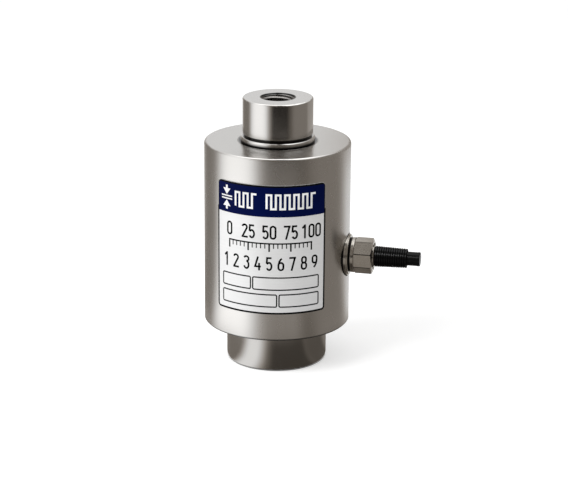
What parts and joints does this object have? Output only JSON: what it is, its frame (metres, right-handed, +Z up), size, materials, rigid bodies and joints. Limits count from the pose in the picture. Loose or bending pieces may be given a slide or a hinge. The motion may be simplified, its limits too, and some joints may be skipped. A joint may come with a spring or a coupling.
{
  "type": "column load cell",
  "caption": "Canister column load cell: round steel housing, a threaded boss above and below, a side cable gland and a curved rating plate.",
  "frame": {"origin": "centre of the base boss's underside, on the load axis", "axes": "+Z up along the load axis, +X along the cable gland, -Y the side that the rating plate faces"},
  "size_m": [0.1498, 0.1006, 0.185],
  "materials": {
    "satin_steel": "fine-turned stainless steel, satin, faintly warm",
    "bright_steel": "turned and polished steel",
    "plated_gland": "nickel-plated brass, satin",
    "screw_steel": "plain zinc-plated steel",
    "black_rubber": "matt black moulded rubber",
    "cable_black": "black cable jacket, low sheen",
    "insert_plastic": "natural grey nylon",
    "board_green": "green lacquered circuit board",
    "gauge_film": "amber film",
    "terminal_copper": "tinned copper terminals",
    "resistor_body": "pale blue lacquer",
    "lead_white": "white fluoropolymer wire",
    "core_red": "red wire insulation",
    "core_green": "green wire insulation",
    "core_white": "white wire insulation",
    "core_black": "black wire insulation",
    "plate_silver": "printed satin aluminium foil",
    "header_blue": "dark blue printed field"
  },
  "bodies": {
    "root": {"load_column": "satin_steel", "housing_shell": "satin_steel", "bottom_lock_ring": "satin_steel", "top_diaphragm": "bright_steel", "flange_seal": "black_rubber", "bridge_board": "board_green", "board_spacers": "screw_steel", "board_screws": "screw_steel", "trim_resistors": "resistor_body", "gland_seal": "black_rubber", "groove_ring": "black_rubber", "gland_body": "plated_gland", "gland_nut": "plated_gland", "clamping_insert": "insert_plastic", "sealing_grommet": "black_rubber", "strain_relief_boot": "black_rubber", "cable_jacket": "cable_black", "cable_end_cap": "cable_black", "rating_plate": "plate_silver", "header_field": "header_blue", "core_red": "core_red", "core_green": "core_green", "core_white": "core_white", "core_black": "core_black", "strain_gauge_1": "gauge_film", "terminal_pad_1": "terminal_copper", "gauge_lead_1": "lead_white", "strain_gauge_2": "gauge_film", "terminal_pad_2": "terminal_copper", "gauge_lead_2": "lead_white", "strain_gauge_3": "gauge_film", "terminal_pad_3": "terminal_copper", "gauge_lead_3": "lead_white", "strain_gauge_4": "gauge_film", "terminal_pad_4": "terminal_copper", "gauge_lead_4": "lead_white"}
  },
  "joints": []
}
